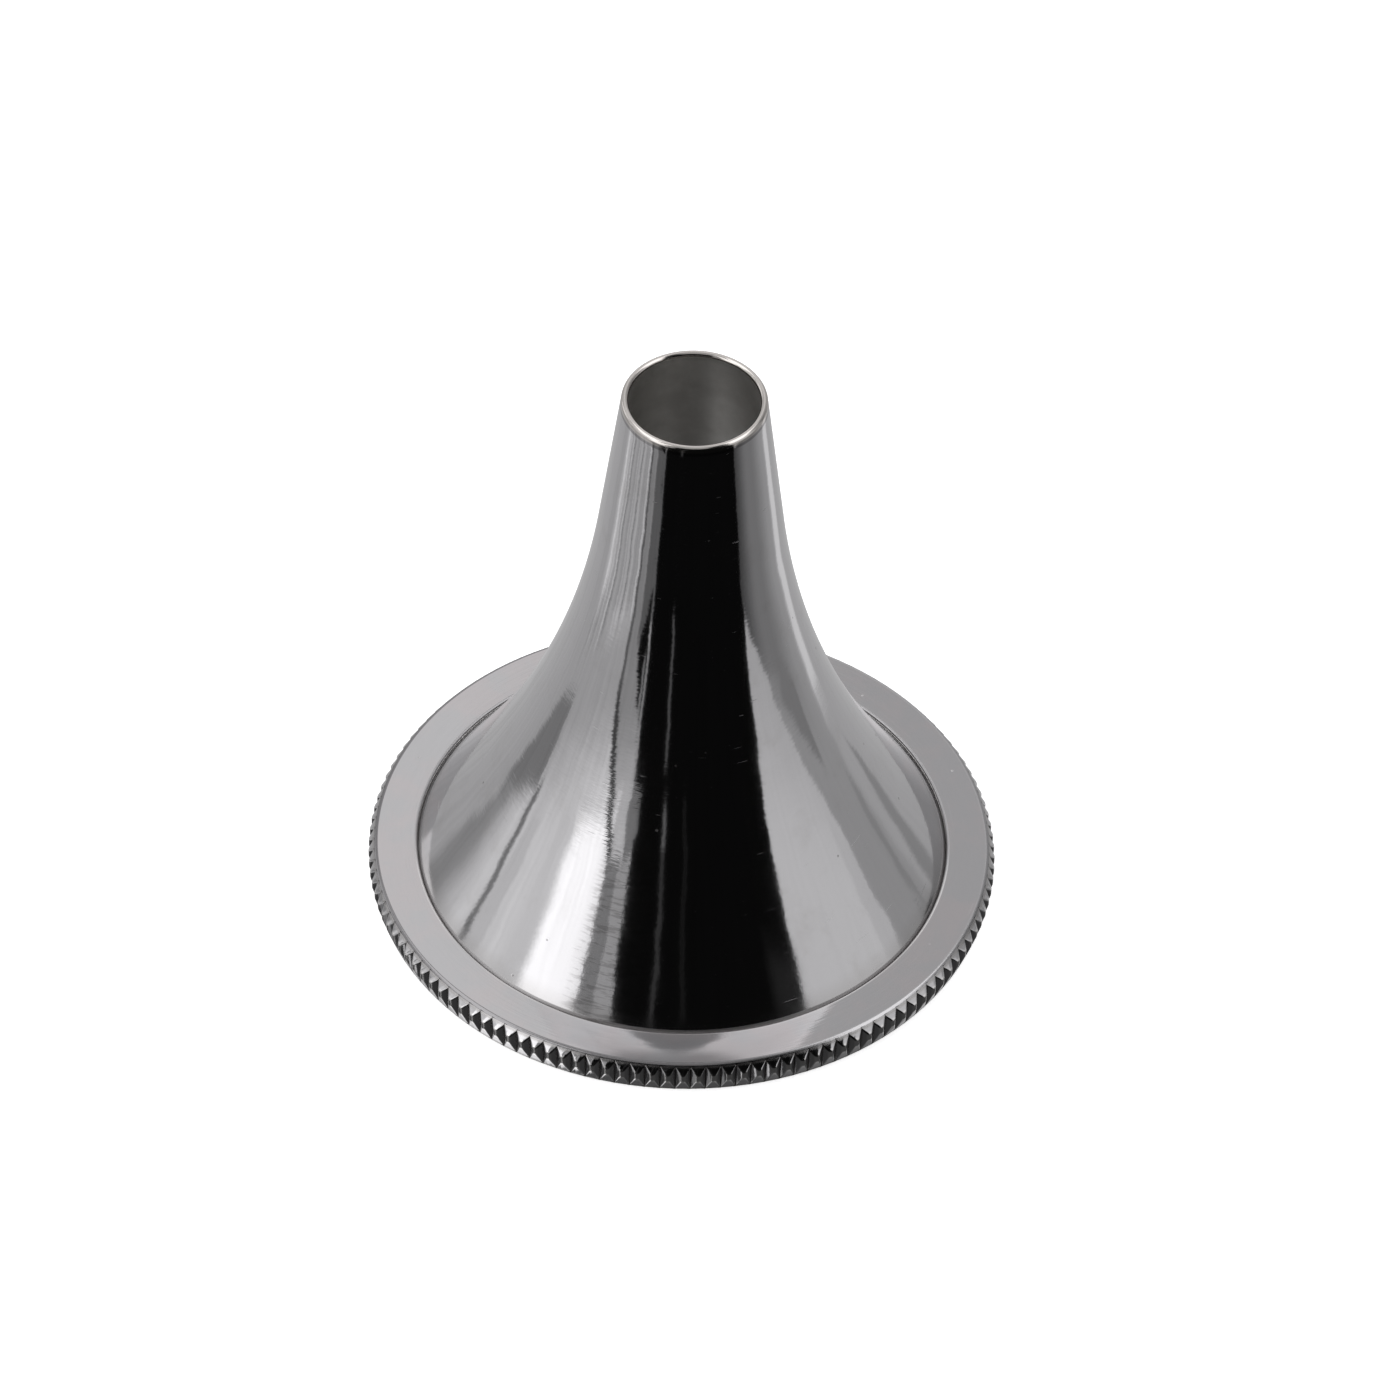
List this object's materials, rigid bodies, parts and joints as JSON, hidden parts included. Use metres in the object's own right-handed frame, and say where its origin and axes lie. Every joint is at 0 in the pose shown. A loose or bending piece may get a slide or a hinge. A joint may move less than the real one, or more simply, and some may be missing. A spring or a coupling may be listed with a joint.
{
  "type": "ear speculum",
  "caption": "Thin polished trumpet funnel with a short rounded tip, soldered into the tapered bore of a flat knurled rim ring that it stands on.",
  "frame": {"origin": "centre of the flat underside of the rim ring, which the speculum stands on", "axes": "+Z along the funnel's axis, towards the narrow tip; X and Y are alike round the axis"},
  "size_m": [0.036, 0.036, 0.0365],
  "materials": {
    "polished_funnel": "mirror polished outside with faint lathe lines, satin inside",
    "polished_rim": "polished, with fine turning lines on the flat face and bright knurled teeth",
    "plated_solder": "plated over, satin"
  },
  "bodies": {
    "root": {"funnel": "polished_funnel", "rim_ring": "polished_rim", "solder_seam": "plated_solder"}
  },
  "joints": []
}
